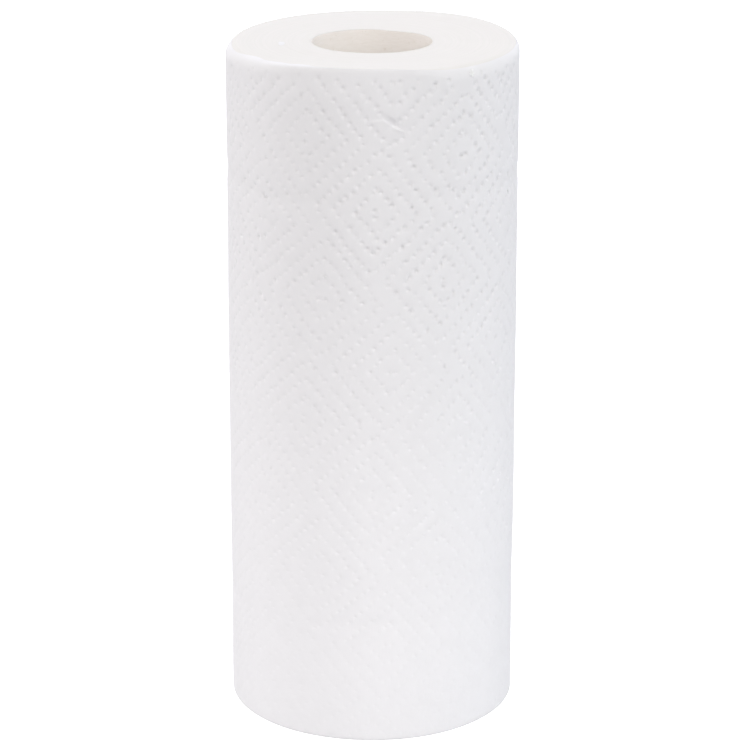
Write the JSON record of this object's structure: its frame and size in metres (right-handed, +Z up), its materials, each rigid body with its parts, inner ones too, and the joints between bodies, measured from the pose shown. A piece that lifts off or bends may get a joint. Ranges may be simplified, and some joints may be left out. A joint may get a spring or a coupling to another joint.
{
  "type": "paper towel roll",
  "caption": "Kitchen roll: a white embossed paper web wound tightly on an open cardboard core, standing on its end. The core slides over the rod of a holder.",
  "frame": {"origin": "centre of the end that the roll stands on", "axes": "+Z up along the roll's axis, towards its other end; the front faces -Y and the free edge of the web lies at the back"},
  "size_m": [0.1003, 0.1, 0.237],
  "materials": {
    "paper": "soft matt embossed tissue",
    "core": "plain greyboard"
  },
  "bodies": {
    "root": {"paper_roll": "paper", "core_tube": "core"}
  },
  "joints": []
}
